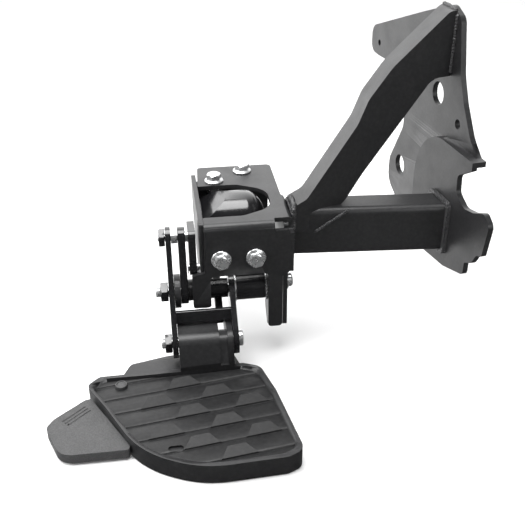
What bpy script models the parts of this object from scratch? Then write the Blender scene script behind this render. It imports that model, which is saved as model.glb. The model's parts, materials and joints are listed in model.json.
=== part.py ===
"""Tailgate step: a swing-down foot pad on a bracket that bolts to a truck's frame rail.

Sizes are in millimetres in the bracket's own frame: X to the right along the support tube, Y towards
the front of the truck, Z up, zero at the near left top corner of the bracket cover. mm() turns them
into metres. The root empty moves the whole part so that the frame mount is at the world origin.
"""
import math

import bmesh
import bpy
from mathutils import Matrix, Vector

# ---------------------------------------------------------------- driving dimensions (mm)
GAP = 0.3                       # clearance between touching pieces
SHEET = 5.0                     # bracket sheet thickness

ARM_PIVOT = (20.0, -89.0)       # (Y, Z) of the swing arm's main pivot
PAD_PIVOT = (-22.0, -129.0)     # (Y, Z) of the pad's pivot at the arm's lower end
LINK_OFFSET = (34.0, 6.0)       # (Y, Z) from each arm pivot to the level link's pivot
LEVER_STUD = (30.0, -26.0)      # (Y, Z) of the stud at the arm's upper end

COVER_WIDTH = 91.0
COVER_DEPTH = 150.0
FLANGE_X = (COVER_WIDTH, COVER_WIDTH + SHEET)
LEG_RIGHT = (68.0, 84.0)        # X span of the cover's right leg
LEG_RIGHT_BOTTOM = -133.0
LEG_LEFT = (-15.0, 4.7)
LEG_LEFT_BOTTOM = -101.0
CUTOUT_TOP = -62.0
BACK_Y = 120.6                  # near face of the housing's rear wall

ARM_PLATE_LEFT = (-41.0, -35.0)
ARM_PLATE_RIGHT = (25.0, 31.0)
ARM_END_RADIUS = 17.0
WEB = [(-4.5, -98.0), (-9.5, -98.0), (-13.5, -110.5), (-8.5, -112.0)]   # (Y, Z) corners

PIN_RADIUS = 6.0
LINK_PIN_RADIUS = 4.0
LINK_X = (10.0, 18.0)

TUBE_FRONT = (27.0, 14.0)       # Y of the front wall at the bracket and at the frame plate
TUBE_DEPTH = 38.0
TUBE_TOP = -1.5
TUBE_HEIGHT = 57.0
TUBE_WALL = 3.0
BRACE_FRONT = (20.0, 66.0)
BRACE_DEPTH = 32.0
REACH = 272.0                   # X at which the tubes' front walls have those places

PLATE_YAW = math.radians(8)     # the frame plate is turned this much from the bracket's YZ plane
PLATE_ZERO = (280.0, 20.0)      # (X, Y) where the plate's own frame starts, on its near face
PLATE_SHEET = 6.0
SEAT_RISE = 10.0                # how far the plate's seat stands out towards the bracket

PAD_TOP = -149.0
PAD_FLOOR = -154.0
PAD_BOTTOM = -171.0
NECK_X = (-34.4, 9.4)
FORK_X = (18.6, 24.4)           # the neck's outer side, past the level link

MOUNT_ON_PLATE = (PLATE_SHEET, 110.0, 60.0)
MOUNT_POINT = (PLATE_ZERO[0] + MOUNT_ON_PLATE[0] * math.cos(PLATE_YAW)
               - MOUNT_ON_PLATE[1] * math.sin(PLATE_YAW),
               PLATE_ZERO[1] + MOUNT_ON_PLATE[0] * math.sin(PLATE_YAW)
               + MOUNT_ON_PLATE[1] * math.cos(PLATE_YAW), MOUNT_ON_PLATE[2])

SMOOTH_ANGLE = math.radians(40)
BOLT_HOLE = 5.3


def mm(*values):
    """Millimetres to metres, as a vector."""
    return Vector([value * 0.001 for value in values])


# ---------------------------------------------------------------- scene, bodies, materials
for old in list(bpy.data.objects):
    bpy.data.objects.remove(old, do_unlink=True)

parts = bpy.data.collections.new("tailgate_step")
cutters = bpy.data.collections.new("cutters")
bpy.context.scene.collection.children.link(parts)
bpy.context.scene.collection.children.link(cutters)


def body(name, origin, parent=None):
    """An empty on a body's joint axis. origin is in the bracket frame. The root turns that frame
    so that the frame plate faces +X, with the mount point at the world origin."""
    empty = bpy.data.objects.new(name, None)
    empty["origin"] = origin
    if parent:
        empty.location = mm(*(Vector(origin) - Vector(parent["origin"])))
    else:
        empty.rotation_euler.z = -PLATE_YAW
        empty.location = Matrix.Rotation(-PLATE_YAW, 3, "Z") @ mm(*(-Vector(MOUNT_POINT)))
    empty.parent = parent
    parts.objects.link(empty)
    return empty


LINK_TOP = (ARM_PIVOT[0] + LINK_OFFSET[0], ARM_PIVOT[1] + LINK_OFFSET[1])
LINK_BOTTOM = (PAD_PIVOT[0] + LINK_OFFSET[0], PAD_PIVOT[1] + LINK_OFFSET[1])
BRACKET = body("bracket_root", (0, 0, 0))
SWING = body("swing_axis", (0, *ARM_PIVOT), BRACKET)
PAD = body("pad_axis", (0, *PAD_PIVOT), SWING)
LINK = body("link_axis", (0, *LINK_TOP), BRACKET)


def material(name, colour, roughness, metallic):
    made = bpy.data.materials.new(name)
    made.use_nodes = True
    shader = made.node_tree.nodes["Principled BSDF"]
    shader.inputs["Base Color"].default_value = (*colour, 1.0)
    shader.inputs["Roughness"].default_value = roughness
    shader.inputs["Metallic"].default_value = metallic
    return made


POWDER = ("powder_black", (0.020, 0.020, 0.021), 0.45, 0.0)
GLOSS = ("gloss_black", (0.012, 0.012, 0.013), 0.15, 0.0)
ZINC = ("zinc", (0.62, 0.63, 0.65), 0.28, 1.0)
PLASTIC = ("moulded_black", (0.030, 0.030, 0.031), 0.6, 0.0)
RUBBER = ("tread_rubber", (0.024, 0.024, 0.025), 0.55, 0.0)


def finish(obj, owner, look, bevel=0.0, segments=2):
    """Parent a finished object to its body, with its own material, bevel and shading."""
    label, colour, roughness, metallic = look
    obj.data.transform(Matrix.Translation(-mm(*owner["origin"])))
    obj.parent = owner
    obj.data.materials.clear()
    obj.data.materials.append(material(f"{obj.name}_{label}", colour, roughness, metallic))
    if bevel:
        add_bevel(obj, bevel, segments)
    obj.data.shade_smooth()
    obj.data.set_sharp_from_angle(angle=SMOOTH_ANGLE)
    return obj


def add_bevel(obj, width, segments=2):
    edge = obj.modifiers.new("edge", "BEVEL")
    edge.width = width * 0.001
    edge.segments = segments
    edge.limit_method = "ANGLE"
    edge.angle_limit = math.radians(40)


# ---------------------------------------------------------------- outlines
def circle(centre, radius, count=28):
    """A closed ring of points about centre."""
    turn = 2 * math.pi / count
    return [(centre[0] + radius * math.cos(turn * i), centre[1] + radius * math.sin(turn * i))
            for i in range(count)]


def rounded(corners, count=5):
    """A closed outline from (u, v, radius) corners, each turned into an arc of that radius."""
    outline = []
    for index, (u, v, radius) in enumerate(corners):
        point = Vector((u, v))
        back = Vector(corners[index - 1][:2]) - point
        ahead = Vector(corners[(index + 1) % len(corners)][:2]) - point
        if radius <= 0:
            outline.append((u, v))
            continue
        half = back.angle(ahead) / 2
        reach = min(radius / math.tan(half), back.length * 0.49, ahead.length * 0.49)
        radius = reach * math.tan(half)
        start = point + back.normalized() * reach
        end = point + ahead.normalized() * reach
        centre = point + (back.normalized() + ahead.normalized()).normalized() * radius / math.sin(half)
        first = start - centre
        sweep = first.angle_signed(end - centre)
        for step in range(count + 1):
            ray = first.copy()
            ray.rotate(Matrix.Rotation(-sweep * step / count, 2))
            outline.append(tuple(centre + ray))
    return outline


def strap(first, second, first_radius, second_radius, count=10):
    """The outline round two circles: a link with round ends."""
    first, second = Vector(first), Vector(second)
    run = second - first
    lean = math.acos((first_radius - second_radius) / run.length)
    heading = math.atan2(run.y, run.x)
    outline = []
    for centre, radius, start, stop in ((first, first_radius, lean, 2 * math.pi - lean),
                                        (second, second_radius, -lean, lean)):
        for step in range(count + 1):
            angle = heading + start + (stop - start) * step / count
            outline.append(tuple(centre + radius * Vector((math.cos(angle), math.sin(angle)))))
    return outline


def slot(centre, length, width, tilt=0.0):
    """A slot's outline; tilt turns its long axis from v towards -u, in degrees."""
    reach = (length - width) / 2
    along = Vector((-math.sin(math.radians(tilt)), math.cos(math.radians(tilt)))) * reach
    return strap(Vector(centre) - along, Vector(centre) + along, width / 2, width / 2, 6)


# A plane's matrix takes an outline's (u, v) and its depth into the bracket frame.
PLANES = {
    "YZ": Matrix(((0, 0, 1), (1, 0, 0), (0, 1, 0))).to_4x4(),
    "XZ": Matrix(((1, 0, 0), (0, 0, -1), (0, 1, 0))).to_4x4(),
    "XY": Matrix.Identity(4),
}


def plate(name, plane, loops, span):
    """A flat piece: the first loop is its outline, the others are holes. span is along the normal."""
    curve = bpy.data.curves.new(name, "CURVE")
    curve.dimensions = "2D"
    curve.fill_mode = "BOTH"
    curve.extrude = abs(span[1] - span[0]) / 2 * 0.001
    for loop in loops:
        spline = curve.splines.new("POLY")
        spline.points.add(len(loop) - 1)
        for point, (u, v) in zip(spline.points, loop):
            point.co = (u * 0.001, v * 0.001, 0, 1)
        spline.use_cyclic_u = True
    guide = bpy.data.objects.new(f"{name}_outline", curve)
    parts.objects.link(guide)
    middle = (span[0] + span[1]) / 2
    normal = PLANES[plane].to_3x3() @ Vector((0, 0, 1))
    guide.matrix_world = Matrix.Translation(mm(*(abs_axis(normal) * middle))) @ PLANES[plane]
    bpy.context.view_layer.update()
    depsgraph = bpy.context.evaluated_depsgraph_get()
    mesh = bpy.data.meshes.new_from_object(guide.evaluated_get(depsgraph))
    mesh.transform(guide.matrix_world)
    work = bmesh.new()
    work.from_mesh(mesh)
    bmesh.ops.remove_doubles(work, verts=work.verts, dist=1e-6)
    bmesh.ops.recalc_face_normals(work, faces=work.faces)
    work.to_mesh(mesh)
    work.free()
    bpy.data.objects.remove(guide)
    mesh.name = name
    obj = bpy.data.objects.new(name, mesh)
    parts.objects.link(obj)
    return obj


def abs_axis(normal):
    return Vector([abs(value) for value in normal])


def turned(name, profile, centre, count=36):
    """A turned piece about an axis along X through centre (Y, Z); profile is (x, radius) pairs,
    from the axis at the right end to the axis at the left end."""
    mesh = bpy.data.meshes.new(name)
    obj = bpy.data.objects.new(name, mesh)
    parts.objects.link(obj)
    work = bmesh.new()
    points = [work.verts.new(mm(x, 0, radius)) for x, radius in profile]
    edges = [work.edges.new(pair) for pair in zip(points, points[1:])]
    bmesh.ops.spin(work, geom=points + edges, cent=(0, 0, 0), axis=(1, 0, 0), angle=2 * math.pi,
                   steps=count, use_merge=True, use_duplicate=False)
    bmesh.ops.remove_doubles(work, verts=work.verts, dist=1e-6)
    bmesh.ops.recalc_face_normals(work, faces=work.faces)
    work.to_mesh(mesh)
    work.free()
    mesh.transform(Matrix.Translation(mm(0, *centre)))
    return obj


def ring(name, centre, bore, radius, span, count=32):
    """A tube, bush or washer about an axis along X."""
    return plate(name, "YZ", [circle(centre, radius, count), circle(centre, bore, count)], span)


def merge(obj, others, operation="UNION"):
    """Join or cut obj by others, which move to the cutters' collection."""
    for other in others:
        step = obj.modifiers.new(operation.lower(), "BOOLEAN")
        step.operation = operation
        step.solver = "EXACT"
        step.object = other
        parts.objects.unlink(other)
        cutters.objects.link(other)
        other.hide_render = True
        other.display_type = "WIRE"


def carry(cutter, owner):
    """Put a cutter in its body's frame."""
    cutter.data.transform(Matrix.Translation(-mm(*owner["origin"])))
    cutter.parent = owner
    return cutter


def on_frame_plate(obj):
    """Put a piece drawn in the frame plate's own frame where the plate stands."""
    obj.data.transform(Matrix.Translation(mm(*PLATE_ZERO, 0)) @ Matrix.Rotation(PLATE_YAW, 4, "Z"))
    return obj


def beyond_frame_plate(name, offset):
    """A cutter for all that lies past a plane parallel to the frame plate."""
    block = plate(name, "YZ", [[(-200, -200), (300, -200), (300, 300), (-200, 300)]],
                  (offset, offset + 80))
    return carry(on_frame_plate(block), BRACKET)


def shear(obj, start, front):
    """Lean a piece so that its front moves from front[0] at the bracket to front[1] at the plate."""
    rate = (front[1] - front[0]) / (REACH - FLANGE_X[1])
    lean = Matrix.Identity(4)
    lean[1][0] = rate
    lean[1][3] = -rate * start * 0.001
    obj.data.transform(lean)
    return obj


# ---------------------------------------------------------------- fasteners
def hex_outline(centre, across_flats, turn=0.0):
    radius = across_flats / math.sqrt(3)
    return [(centre[0] + radius * math.cos(math.radians(60 * i + turn)),
             centre[1] + radius * math.sin(math.radians(60 * i + turn))) for i in range(6)]


def flange_bolt(name, plane, centre, seat, out, shank):
    """Flange bolt: out is +1 or -1, the way its head points along the plane's normal."""
    flange = plate(name, plane, [circle(centre, 10.9, 32)], sorted((seat, seat + out * 2.4)))
    head = plate(f"{name}_hex", plane, [hex_outline(centre, 15.0, 12)],
                 sorted((seat + out * 1.2, seat + out * 9.0)))
    stem = plate(f"{name}_stem", plane, [circle(centre, 5.0, 20)],
                 sorted((seat + out * 1.2, seat - out * shank)))
    add_bevel(head, 0.8, 1)
    return flange, [head, stem]


def flange_bolts(name, plane, centres, seat, out, shank):
    """A flange bolt at each centre, numbered from 1."""
    for index, centre in enumerate(centres, 1):
        bolt, pieces = flange_bolt(f"{name}_{index}", plane, centre, seat, out, shank)
        merge(bolt, [carry(piece, BRACKET) for piece in pieces])
        finish(bolt, BRACKET, ZINC)


TOP_BOLTS = [(20.0, 111.0), (55.5, 134.0)]
FRONT_BOLTS = [(17.0, -41.0), (54.4, -41.0)]


# ---------------------------------------------------------------- frame plate and tubes
# Outlines on the plate are (along, Z) in its own frame, along towards the front of the truck.
PLATE_HOLES = [((69, 101), 13.0), ((146, -17), 12.5), ((19, 83), 5.5), ((235, 113), 3.8)]


def seat_arch(inset):
    """The raised seat's plan: one wide round shoulder, and open at its lower edge."""
    return rounded([(86 - inset, -110, 0), (86 - inset, 63 - inset, 60 - inset),
                    (-140, 63 - inset, 4), (-140, -110, 0)], 10)


def seat_edge():
    """The seat's cut edge: notched at the front, with a hooked flange that reaches rearward."""
    return rounded([
        (110, 110, 0), (-38, 110, 0), (-38, 54, 2), (-12, 38, 7), (-14, 18, 9), (-33, 9, 14),
        (-52, 13, 6), (-72, 22, 7), (-85, 13, 8), (-79, -25, 5), (-70, -28, 6), (-62, -42, 6),
        (-49, -48, 4), (-49, -64, 6), (-6, -77, 16), (40, -82, 14), (110, -76, 0)])


def frame_plate():
    """Flat plate with bolt holes, and the raised seat that both stiffens it and takes the tube."""
    outline = rounded([
        (60, 199, 13), (122, 178, 8), (259, 129, 15), (259, 98, 15), (235, 97, 10), (190, 99, 26),
        (148, 62, 30), (146, 34, 24), (177, -20, 22), (177, -50, 24), (150, -63, 16), (84, -77, 6),
        (60, -40, 4), (20, 20, 20), (-26, 46, 4), (-38, 55, 4), (-10, 77, 40), (12, 108, 40),
        (25, 134, 50), (38, 190, 12)])
    holes = [circle(centre, radius, 28) for centre, radius in PLATE_HOLES]
    obj = plate("frame_plate", "YZ", [outline, *holes], (0, PLATE_SHEET))
    add_bevel(obj, 0.8, 1)
    seat = plate("frame_seat", "YZ", [seat_arch(0)], (-SEAT_RISE, PLATE_SHEET - 0.4))
    add_bevel(seat, SEAT_RISE - 1.5, 4)
    edge = plate("frame_seat_edge", "YZ", [seat_edge()], (-30, 30))
    hollow = plate("frame_seat_hollow", "YZ", [seat_arch(PLATE_SHEET)], (PLATE_SHEET - SEAT_RISE, 40))
    add_bevel(hollow, 3.0, 3)
    for piece in (obj, seat, edge, hollow):
        on_frame_plate(piece)
    merge(seat, [carry(edge, BRACKET)], "INTERSECT")
    merge(obj, [carry(seat, BRACKET)])
    merge(obj, [carry(hollow, BRACKET)], "DIFFERENCE")
    return finish(obj, BRACKET, POWDER)


def tube_section(grow=0.0, radius=7.0):
    back = TUBE_FRONT[0] + TUBE_DEPTH
    low, high = TUBE_TOP - TUBE_HEIGHT, TUBE_TOP
    return rounded([(TUBE_FRONT[0] - grow, low - grow, radius), (back + grow, low - grow, radius),
                    (back + grow, high + grow, radius), (TUBE_FRONT[0] - grow, high + grow, radius)])


# The brace's (X, Z) outline runs past the frame plate, which then cuts it off.
BRACE_OUTLINE = [(FLANGE_X[1] + GAP, 5, 0), (113, 12, 14), (168, 88, 40), (179, 114, 30),
                 (204, 145, 60), (266, 197, 12), (300, 190, 0), (300, 128, 0), (252, 127, 18),
                 (178, 32, 60), (158, 2, 30), (120, -29, 16), (FLANGE_X[1] + GAP, -25, 0)]


def inner_outline(outline, distance):
    """An anticlockwise or clockwise outline moved inwards by distance."""
    count = len(outline)
    area = sum(outline[i - 1][0] * outline[i][1] - outline[i][0] * outline[i - 1][1]
               for i in range(count))
    side = 1 if area > 0 else -1
    moved = []
    for index in range(count):
        run = Vector(outline[(index + 1) % count]) - Vector(outline[index - 1])
        normal = Vector((-run.y, run.x)).normalized() * side
        moved.append(tuple(Vector(outline[index]) + normal * distance))
    return moved


def brace_solid(name, span, inset=0.0):
    outline = inner_outline(rounded(BRACE_OUTLINE, 8), inset)
    return shear(plate(name, "XZ", [outline], span), FLANGE_X[1], BRACE_FRONT)


def diagonal_brace_tube():
    """Bent rectangular tube from the bracket's flange up to the frame plate."""
    front, back = BRACE_FRONT[0], BRACE_FRONT[0] + BRACE_DEPTH
    obj = brace_solid("diagonal_brace_tube", (front, back))
    add_bevel(obj, 5.0, 3)
    hollow = brace_solid("brace_hollow", (front + TUBE_WALL, back - TUBE_WALL), TUBE_WALL)
    add_bevel(hollow, 2.0, 2)
    merge(obj, [carry(hollow, BRACKET), beyond_frame_plate("brace_end", -GAP)], "DIFFERENCE")
    return finish(obj, BRACKET, POWDER)


def lower_support_tube():
    """Rectangular tube from the bracket's flange to the frame plate's seat, coped under the brace."""
    loops = [tube_section(), tube_section(-TUBE_WALL, 4.0)]
    obj = plate("lower_support_tube", "YZ", loops, (FLANGE_X[1] + GAP, REACH + 40))
    shear(obj, FLANGE_X[1], TUBE_FRONT)
    cope = brace_solid("cope", (BRACE_FRONT[0] - 6, BRACE_FRONT[0] + BRACE_DEPTH + 20), -GAP)
    end = beyond_frame_plate("tube_end", -SEAT_RISE - GAP)
    merge(obj, [carry(cope, BRACKET), end], "DIFFERENCE")
    return finish(obj, BRACKET, POWDER)


def tube_end_weld():
    """The weld bead round the tube at the frame plate's seat."""
    loops = [tube_section(4.5, 9.0), tube_section(GAP, 7.0)]
    obj = plate("tube_end_weld", "YZ", loops, (REACH - 40, REACH + 40))
    shear(obj, FLANGE_X[1], TUBE_FRONT)
    near = plate("weld_near", "YZ", [[(-200, -200), (300, -200), (300, 300), (-200, 300)]],
                 (-SEAT_RISE - 110, -SEAT_RISE - 4.5))
    on_frame_plate(near)
    merge(obj, [carry(near, BRACKET), beyond_frame_plate("weld_far", -SEAT_RISE - GAP)], "DIFFERENCE")
    return finish(obj, BRACKET, POWDER)


# ---------------------------------------------------------------- bracket
def bracket_cover():
    """Folded sheet: top with a D-shaped window, front with two legs, and a right flange."""
    front = rounded([
        (0, 0, 0), (75, 0, 0), (75, -10, 2), (COVER_WIDTH, -10, 2), (COVER_WIDTH, -63, 3),
        (LEG_RIGHT[1], -66, 3), (LEG_RIGHT[1], LEG_RIGHT_BOTTOM, 4), (LEG_RIGHT[0], LEG_RIGHT_BOTTOM, 4),
        (LEG_RIGHT[0], CUTOUT_TOP, 4), (LEG_LEFT[1], CUTOUT_TOP, 5), (LEG_LEFT[1], LEG_LEFT_BOTTOM, 3),
        (LEG_LEFT[0], LEG_LEFT_BOTTOM, 3), (LEG_LEFT[0], -60, 2), (-1, -57, 2)])
    holes = [circle(centre, BOLT_HOLE, 20) for centre in FRONT_BOLTS]
    cover = plate("bracket_cover", "XZ", [front, *holes], (0, SHEET))
    top = rounded([(0, 0, 0), (75, 0, 0), (75, 10, 2), (COVER_WIDTH, 10, 0), (COVER_WIDTH, COVER_DEPTH, 6),
                   (3, COVER_DEPTH, 4), (0, 98, 2), (44, 98, 20), (77, 80, 26), (77, 36, 26),
                   (44, 20, 20), (0, 20, 2)])
    holes = [circle(centre, BOLT_HOLE, 20) for centre in TOP_BOLTS]
    top = plate("cover_top", "XY", [top, *holes], (-SHEET, 0))
    side = rounded([(0, -14, 0), (0, -63, 3), (52, -63, 8), (66, -48, 8), (66, -SHEET, 0),
                    (66, 0, 0), (10, 0, 0), (10, -14, 2)])
    side = plate("cover_side", "YZ", [side], (COVER_WIDTH - 0.2, FLANGE_X[1]))
    merge(cover, [carry(top, BRACKET), carry(side, BRACKET)])
    return finish(cover, BRACKET, POWDER, 1.6, 2)


def cheek_outline():
    """The bracket's side plate round both fixed pivots, as high as the cover."""
    return rounded([
        (SHEET + GAP, 0, 4), (136, 0, 5), (126, -40, 20), (70, -78, 10), (66, -98, 12), (40, -98, 10), (34, -108, 12), (6, -108, 8),
        (SHEET + GAP, -96, 3)])


def left_cheek_plate():
    bores = [circle(ARM_PIVOT, PIN_RADIUS + GAP), circle(LINK_TOP, LINK_PIN_RADIUS + GAP, 20)]
    obj = plate("left_cheek_plate", "YZ", [cheek_outline(), *bores], (-SHEET - GAP, -GAP))
    return finish(obj, BRACKET, POWDER, 0.8, 1)


def right_cheek_plate():
    outline = rounded([
        (SHEET + GAP, -SHEET - GAP, 3), (110, -SHEET - GAP, 12), (110, -40, 24), (60, -80, 20),
        (28, LEG_RIGHT_BOTTOM - 3, 8), (SHEET + GAP, LEG_RIGHT_BOTTOM - 3, 3)])
    obj = plate("right_cheek_plate", "YZ", [outline, circle((22, -86), 5.3, 20)], (85.3, 90.3))
    return finish(obj, BRACKET, POWDER, 0.8, 1)


def housing_back_plate():
    """The wall that closes the spring's housing at the rear."""
    outline = rounded([(GAP, -SHEET - GAP, 0), (84.8, -SHEET - GAP, 0), (84.8, -62, 8), (GAP, -62, 8)])
    obj = plate("housing_back_plate", "XZ", [outline], (BACK_Y, BACK_Y + 3.6))
    return finish(obj, BRACKET, POWDER, 0.8, 1)


def right_leg_web():
    outline = rounded([
        (SHEET + GAP, -SHEET - GAP, 2), (46, -SHEET - GAP, 6), (46, -90, 20), (30, -112, 14),
        (11, LEG_RIGHT_BOTTOM, 3), (SHEET + GAP, LEG_RIGHT_BOTTOM, 2)])
    bore = circle(ARM_PIVOT, PIN_RADIUS + GAP)
    obj = plate("right_leg_web", "YZ", [outline, bore], (LEG_RIGHT[0], LEG_RIGHT[0] + SHEET))
    return finish(obj, BRACKET, POWDER, 0.8, 1)


DRUM_CENTRE = (70.0, -30.0)
DRUM_RADIUS = 33.0


def spring_drum():
    """Closed housing for the return spring: a short cylinder with a domed right end."""
    left, right, dome = 2.0, 51.0, 23.0
    arc = [(right + dome * math.cos(a), DRUM_RADIUS * math.sin(a))
           for a in [math.pi / 2 * i / 8 for i in range(9)]]
    profile = arc + [(left + 5, DRUM_RADIUS), (left + 2, DRUM_RADIUS - 1.5), (left, DRUM_RADIUS - 5),
                     (left, 20), (left + 3, 17), (left + 3, 0)]
    return finish(turned("spring_drum", profile, DRUM_CENTRE, 48), BRACKET, GLOSS)


def cover_nuts():
    """Weld nuts under the cover, one for each flange bolt."""
    places = [("top", "XY", c, (-SHEET - GAP - 8, -SHEET - GAP)) for c in TOP_BOLTS]
    places += [("front", "XZ", c, (SHEET + GAP, SHEET + GAP + 8)) for c in FRONT_BOLTS]
    for index, (label, plane, centre, span) in enumerate(places, 1):
        loops = [hex_outline(centre, 16), circle(centre, BOLT_HOLE, 20)]
        finish(plate(f"weld_nut_{label}_{index}", plane, loops, span), BRACKET, ZINC)


def anchor_plate():
    """The fixed plate beside the left cheek that carries the travel stop."""
    outline = rounded([(10, -12, 5), (44, -12, 7), (44, -40, 12), (22, -64, 8), (6, -64, 7), (6, -44, 8)])
    obj = plate("anchor_plate", "YZ", [outline, circle((14, -56), 4.3, 20)], (-17.0, -9.0))
    return finish(obj, BRACKET, GLOSS, 0.8, 1)


def stop_screw():
    """The screw and bush that hold the anchor plate to the cheek."""
    profile = [(-5.6, 0), (-5.6, 4), (-18, 4), (-18, 7), (-22 + 3.2, 7), (-22 + 3.2, 0)]
    return finish(turned("stop_screw", profile, (14, -56), 24), BRACKET, ZINC)


def side_bolt():
    """The bolt head on the outside of the right cheek."""
    profile = [(98.3, 0), (98.3, 6.5), (96.3, 8.2), (92.9, 8.2), (92.9, 10.4), (90.6, 10.4),
               (90.6, 5), (83.3, 5), (83.3, 0)]
    return finish(turned("side_bolt", profile, (22, -86), 28), BRACKET, ZINC)


# ---------------------------------------------------------------- main pivot
def pivot_sleeves():
    left = ring("pivot_sleeve_left", ARM_PIVOT, PIN_RADIUS + GAP, 11.0, (0.0, 24.4))
    right = ring("pivot_sleeve_right", ARM_PIVOT, PIN_RADIUS + GAP, 15.0, (33.4, 65.6))
    finish(left, BRACKET, POWDER, 0.8, 1)
    finish(right, BRACKET, POWDER, 0.8, 1)
    for name, span in (("pivot_washer_inner", (31.6, 33.1)), ("pivot_washer_outer", (65.9, 67.6))):
        finish(ring(name, ARM_PIVOT, PIN_RADIUS + GAP, 17.0, span), BRACKET, ZINC)


def main_pivot_bolt():
    """Shoulder bolt from the nut outside the arm to its head in the right leg."""
    right, left = LEG_RIGHT[0] + SHEET + GAP, -50.0
    profile = [(right + 7, 0), (right + 7, 8), (right + 5.5, 9.5), (right, 9.5), (right, PIN_RADIUS),
               (left - 4, PIN_RADIUS), (left - 6, PIN_RADIUS - 2), (left - 6, 0)]
    return finish(turned("main_pivot_bolt", profile, ARM_PIVOT, 32), BRACKET, ZINC)


def nut(name, centre, span, across_flats, bore, owner):
    loops = [hex_outline(centre, across_flats, 30), circle(centre, bore, 24)]
    return finish(plate(name, "YZ", loops, span), owner, ZINC, 0.8, 1)


def link_pin_upper():
    """The fixed pin of the level link, through the left cheek."""
    profile = [(22, 0), (22, 6), (LINK_X[1] + GAP, 6), (LINK_X[1] + GAP, LINK_PIN_RADIUS),
               (-5.6, LINK_PIN_RADIUS), (-5.6, 7), (-7.6, 7), (-7.6, 0)]
    return finish(turned("link_pin_upper", profile, LINK_TOP, 24), BRACKET, ZINC)


# ---------------------------------------------------------------- swing arm
def swing_arm():
    """Two side plates joined by a web; the left plate runs on up to the lever stud."""
    bores = [circle(ARM_PIVOT, PIN_RADIUS + GAP), circle(PAD_PIVOT, PIN_RADIUS + GAP)]
    lower = strap(ARM_PIVOT, PAD_PIVOT, ARM_END_RADIUS, ARM_END_RADIUS)
    arm = plate("swing_arm", "YZ", [lower, *bores], ARM_PLATE_RIGHT)
    left = plate("arm_left", "YZ", [lower, *bores], ARM_PLATE_LEFT)
    upper_holes = [circle(ARM_PIVOT, PIN_RADIUS + GAP), circle(LEVER_STUD, LINK_PIN_RADIUS + GAP, 20)]
    upper = plate("arm_upper", "YZ", [strap(ARM_PIVOT, LEVER_STUD, 16, 12), *upper_holes],
                  (ARM_PLATE_LEFT[0] + 0.1, ARM_PLATE_LEFT[1] - 0.1))
    web = plate("arm_web", "YZ", [WEB], (ARM_PLATE_LEFT[1] - 1, ARM_PLATE_RIGHT[0] + 1))
    merge(arm, [carry(piece, SWING) for piece in (web, left, upper)])
    return finish(arm, SWING, GLOSS, 0.8, 1)


def arm_lever_plate():
    """The second lever plate, clamped between the arm's boss and its spacer."""
    loops = [strap(ARM_PIVOT, LEVER_STUD, 15, 11), circle(ARM_PIVOT, PIN_RADIUS + GAP),
             circle(LEVER_STUD, LINK_PIN_RADIUS + GAP, 20)]
    obj = plate("arm_lever_plate", "YZ", loops, (-27.7, -19.7))
    return finish(obj, SWING, GLOSS, 0.8, 1)


def arm_spacers():
    boss = ring("arm_boss", ARM_PIVOT, PIN_RADIUS + GAP, 19.0, (-34.7, -28.0))
    spacer = ring("arm_spacer", ARM_PIVOT, PIN_RADIUS + GAP, 12.0, (-19.4, -7.9))
    washer = ring("arm_washer", ARM_PIVOT, PIN_RADIUS + GAP, 13.5, (-7.6, -5.9))
    finish(boss, SWING, POWDER, 1.0, 2)
    finish(spacer, SWING, POWDER, 0.8, 1)
    finish(washer, SWING, ZINC)


def lever_stud():
    """Stud through both lever plates with a spacer collar between them."""
    profile = [(-19.4 + 2.4, 0), (-19.4 + 2.4, 6), (-19.4, 6), (-19.4, LINK_PIN_RADIUS),
               (-28.0, LINK_PIN_RADIUS), (-28.0, 7), (-34.7, 7), (-34.7, LINK_PIN_RADIUS),
               (-48.5, LINK_PIN_RADIUS), (-49.5, 3), (-49.5, 0)]
    return finish(turned("lever_stud", profile, LEVER_STUD, 24), SWING, ZINC)


def pad_pivot_bolt():
    right, left = ARM_PLATE_RIGHT[1] + GAP, ARM_PLATE_LEFT[0] - 9
    profile = [(right + 5, 0), (right + 5, 8), (right + 4, 9), (right, 9), (right, PIN_RADIUS),
               (left - 2, PIN_RADIUS), (left - 3, PIN_RADIUS - 1.5), (left - 3, 0)]
    return finish(turned("pad_pivot_bolt", profile, PAD_PIVOT, 32), SWING, ZINC)


# ---------------------------------------------------------------- level link
def level_link():
    """The bar that keeps the pad level; its lower end turns about the pad's pin."""
    loops = [strap(LINK_TOP, LINK_BOTTOM, 7, 7), circle(LINK_TOP, LINK_PIN_RADIUS + GAP, 20),
             circle(LINK_BOTTOM, LINK_PIN_RADIUS + GAP, 20)]
    return finish(plate("level_link", "YZ", loops, LINK_X), LINK, POWDER, 0.8, 1)


def link_spacer():
    obj = ring("link_spacer", LINK_TOP, LINK_PIN_RADIUS + GAP, 7.0, (0.0, LINK_X[0] - GAP), 20)
    return finish(obj, BRACKET, ZINC)


# ---------------------------------------------------------------- pad
PAD_CORNERS = [(-134, -58, 8), (-121, -45, 8), (34, -42, 6), (52, -50, 14), (63, -92, 30),
               (77, -182, 12), (60, -190, 14), (-22, -194, 100),
               (-80, -164, 100), (-114, -94, 120)]


def pad_outline(inset=0.0):
    """The pad's plan, or a smaller copy whose sides lie inset inside it."""
    middle = Vector((-25, -118))
    half = Vector((100, 74))
    return rounded([(middle.x + (u - middle.x) * (1 - inset / half.x),
                     middle.y + (v - middle.y) * (1 - inset / half.y), r) for u, v, r in PAD_CORNERS], 6)


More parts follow.
